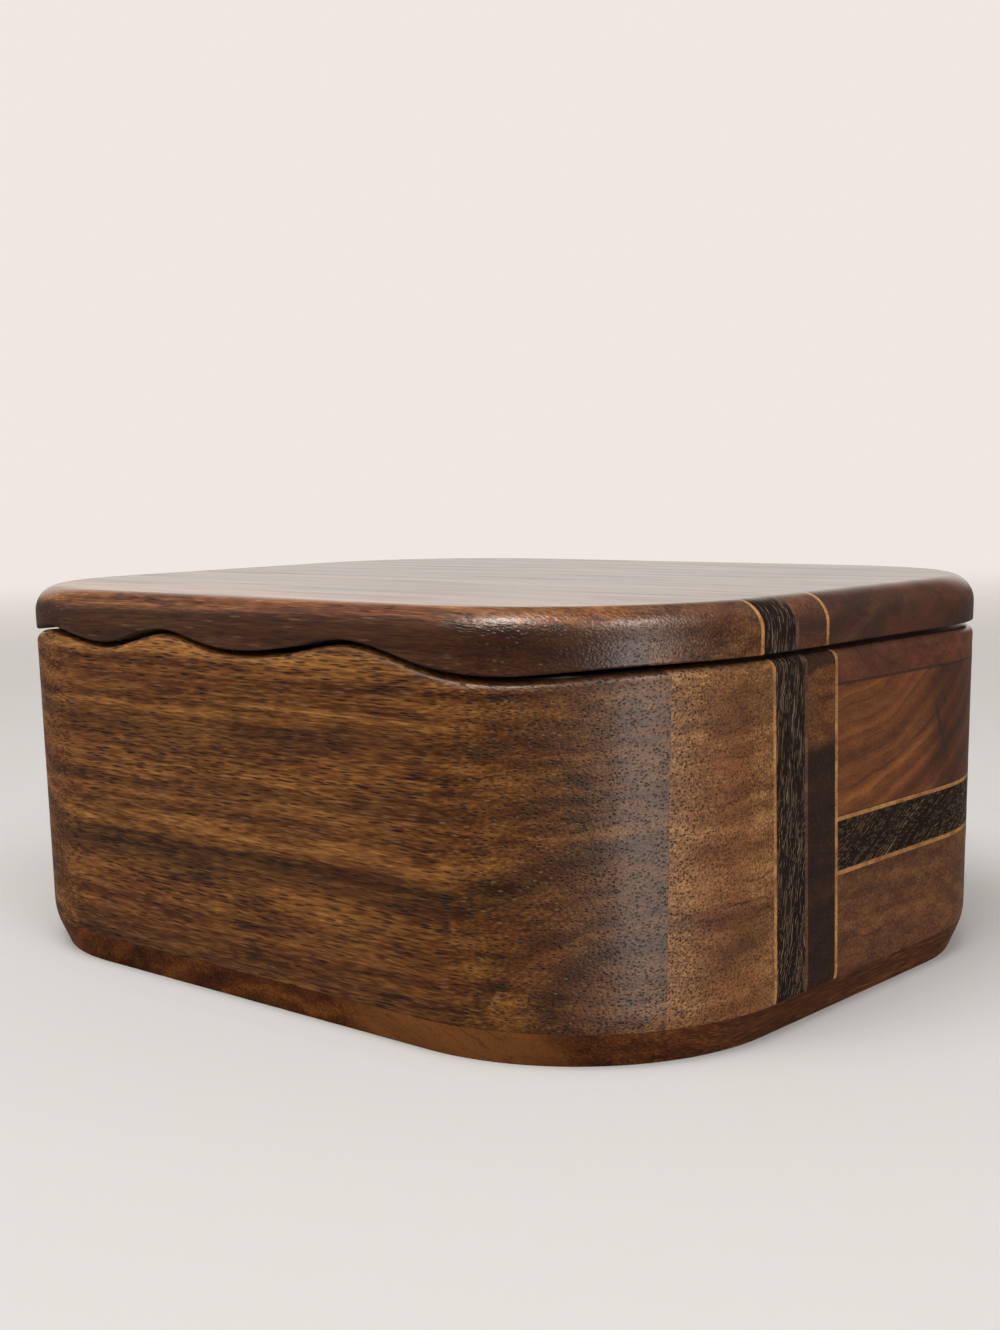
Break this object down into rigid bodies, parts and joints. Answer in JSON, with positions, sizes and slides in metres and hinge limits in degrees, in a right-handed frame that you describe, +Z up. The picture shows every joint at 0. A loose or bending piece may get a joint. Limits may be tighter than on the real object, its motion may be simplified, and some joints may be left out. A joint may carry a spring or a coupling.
{
  "type": "valet box",
  "caption": "Rounded walnut valet box with a hinged lid cut along a wavy saw line, wenge and maple inlay strips, an open lined hollow and a flat base.",
  "frame": {"origin": "on the table, under the middle of the wooden block", "axes": "+X to the right seen from the front, +Y to the back where the hinges are, +Z up"},
  "size_m": [0.2096, 0.2592, 0.107],
  "materials": {
    "walnut": "satin oil",
    "wenge": "satin oil",
    "maple": "satin oil",
    "cherry": "satin oil",
    "suede": "napped",
    "brass": "satin"
  },
  "bodies": {
    "box_body": {"base_plate": "walnut", "left_board": "walnut", "front_second_board": "walnut", "back_second_board": "walnut", "front_walnut_strip": "walnut", "back_walnut_strip": "walnut", "right_lower_board": "walnut", "right_middle_board": "walnut", "right_top_board": "walnut", "front_wenge_strip": "wenge", "back_wenge_strip": "wenge", "right_wenge_band": "wenge", "front_maple_line_left": "maple", "front_maple_line_right": "maple", "back_maple_line_left": "maple", "back_maple_line_right": "maple", "right_lower_maple_line": "maple", "right_upper_maple_line": "maple", "front_cherry_line": "cherry", "back_cherry_line": "cherry", "floor_lining": "suede", "left_hinge_body_leaf": "brass", "right_hinge_body_leaf": "brass", "left_hinge_pin": "brass", "right_hinge_pin": "brass", "body_hinge_screws": "brass"},
    "lid": {"lid_left_board": "walnut", "lid_second_board": "walnut", "lid_walnut_strip": "walnut", "lid_right_board": "walnut", "lid_wenge_strip": "wenge", "lid_maple_line_left": "maple", "lid_maple_line_right": "maple", "lid_cherry_line": "cherry", "left_hinge_lid_leaf": "brass", "right_hinge_lid_leaf": "brass", "lid_hinge_screws": "brass"}
  },
  "joints": [
    {"name": "lid_hinge", "type": "hinge", "parent": "box_body", "child": "lid", "pos_m": [0, 0.1299, 0.09291], "axis": [-1, 0, 0], "range_deg": [0, 95]}
  ]
}
